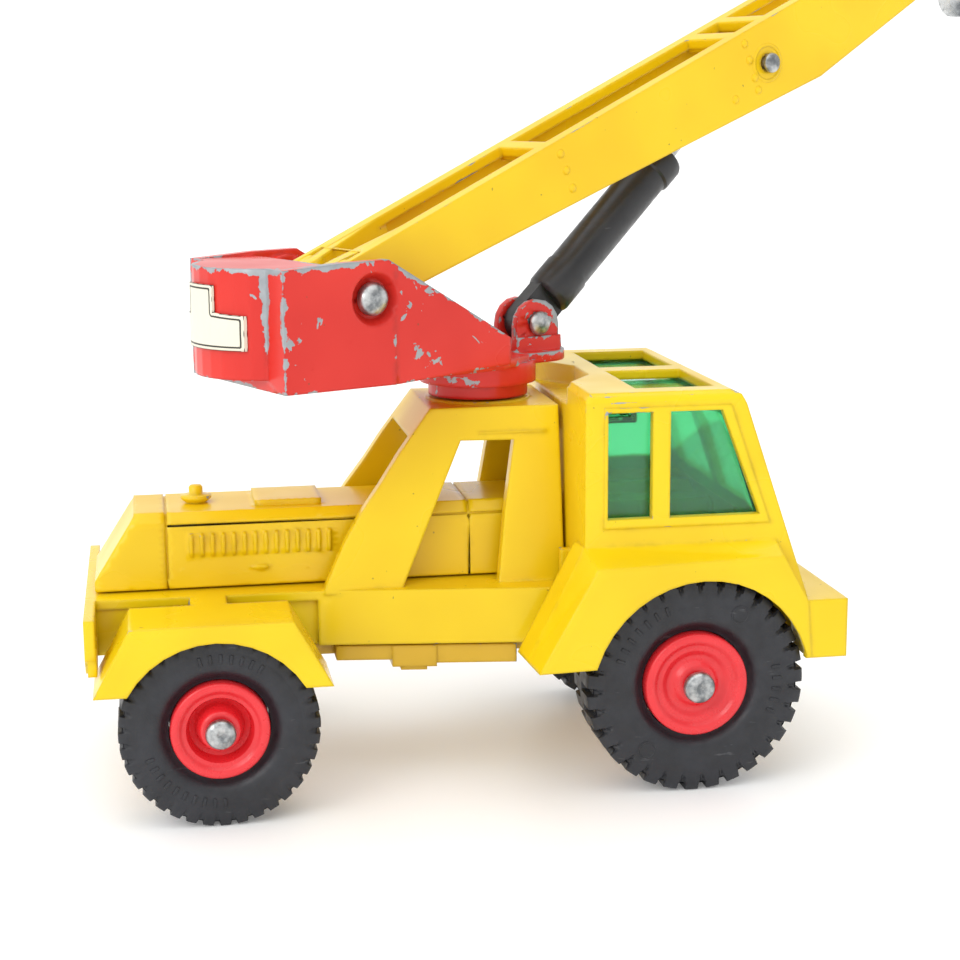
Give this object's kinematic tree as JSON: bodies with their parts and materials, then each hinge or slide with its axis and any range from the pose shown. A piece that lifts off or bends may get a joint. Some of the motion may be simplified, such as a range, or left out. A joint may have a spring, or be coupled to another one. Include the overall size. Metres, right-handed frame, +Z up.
{
  "type": "toy crane truck",
  "caption": "Die-cast toy crane truck: yellow chassis and cab, red slewing superstructure, luffing channel boom on a telescoping ram, hanging hook and rolling wheels.",
  "frame": {"origin": "on the ground, under the middle of the bounding box in the rest pose", "axes": "+X along the truck from the hood end to the cab end, +Z up, +Y to the side away from the viewer"},
  "size_m": [0.118, 0.06, 0.0995],
  "materials": {
    "yellow_casting": "smooth gloss enamel with small chips",
    "yellow_boom": "smooth gloss enamel",
    "hood_enamel": "smooth gloss enamel, a shade deeper",
    "red_casting": "gloss enamel worn through on the edges",
    "pin_steel": "domed pin ends, slightly dulled",
    "hub_red": "gloss moulded",
    "tyre_rubber": "soft black moulding, greyed",
    "clear_green": "clear tinted moulding",
    "cylinder_black": "semi-gloss",
    "rod_plated": "bright",
    "label_cream": "blank cream plate with a dark border",
    "hook_plated": "bright"
  },
  "bodies": {
    "truck": {"chassis": "yellow_casting", "cab_body": "yellow_casting", "hood": "hood_enamel", "cab_glazing": "clear_green", "baseplate": "yellow_casting", "base_rivet_hood_end": "pin_steel", "base_rivet_cab_end": "pin_steel", "axle_hood_end": "pin_steel", "axle_cab_end": "pin_steel"},
    "upper_works": {"superstructure": "red_casting", "label_plate": "label_cream", "turntable_rivet": "pin_steel", "boom_pivot_pin": "pin_steel", "ram_foot_pin": "pin_steel"},
    "boom_assembly": {"boom": "yellow_boom", "ram_head_pin": "pin_steel", "hook_pin": "pin_steel"},
    "ram_tube": {"ram_cylinder": "cylinder_black"},
    "ram_piston": {"ram_rod": "rod_plated"},
    "load_hook": {"hook": "hook_plated"},
    "wheel_hood_end_near": {"hub_hood_end_near": "hub_red", "tyre_hood_end_near": "tyre_rubber"},
    "wheel_hood_end_far": {"hub_hood_end_far": "hub_red", "tyre_hood_end_far": "tyre_rubber"},
    "wheel_cab_end_near": {"hub_cab_end_near": "hub_red", "tyre_cab_end_near": "tyre_rubber"},
    "wheel_cab_end_far": {"hub_cab_end_far": "hub_red", "tyre_cab_end_far": "tyre_rubber"}
  },
  "joints": [
    {"name": "slew", "type": "hinge", "parent": "truck", "child": "upper_works", "pos_m": [-0.01499, -0.00716, 0.04286], "axis": [0, 0, 1], "continuous": true},
    {"name": "boom_luff", "type": "hinge", "parent": "upper_works", "child": "boom_assembly", "pos_m": [-0.03265, -0.01513, 0.054], "axis": [0.4115, -0.9114, 0], "range_deg": [-12, 12]},
    {"name": "ram_tilt", "type": "hinge", "parent": "upper_works", "child": "ram_tube", "pos_m": [-0.0089, -0.00441, 0.04903], "axis": [0.4115, -0.9114, 0], "range_deg": [-16.6, 16.6]},
    {"name": "ram_extend", "type": "slide", "parent": "ram_tube", "child": "ram_piston", "axis": [0.6725, 0.3036, 0.675], "range_m": [-0.0045, 0.0045]},
    {"name": "hook_swing", "type": "hinge", "parent": "boom_assembly", "child": "load_hook", "pos_m": [0.05437, 0.02416, 0.09667], "axis": [0.4115, -0.9114, 0], "range_deg": [-45, 60]},
    {"name": "spin_hood_end_near", "type": "hinge", "parent": "truck", "child": "wheel_hood_end_near", "pos_m": [-0.04561, -0.00716, 0.01037], "axis": [0, 1, 0], "continuous": true},
    {"name": "spin_hood_end_far", "type": "hinge", "parent": "truck", "child": "wheel_hood_end_far", "pos_m": [-0.04561, -0.00716, 0.01037], "axis": [0, 1, 0], "continuous": true},
    {"name": "spin_cab_end_near", "type": "hinge", "parent": "truck", "child": "wheel_cab_end_near", "pos_m": [0.00522, -0.00716, 0.012], "axis": [0, 1, 0], "continuous": true},
    {"name": "spin_cab_end_far", "type": "hinge", "parent": "truck", "child": "wheel_cab_end_far", "pos_m": [0.00522, -0.00716, 0.012], "axis": [0, 1, 0], "continuous": true}
  ],
  "couplings": [
    {"joint": "ram_tilt", "follows": "boom_luff", "ratio": 1.365},
    {"joint": "ram_extend", "follows": "boom_luff", "m_per_rad": 0.02074}
  ]
}
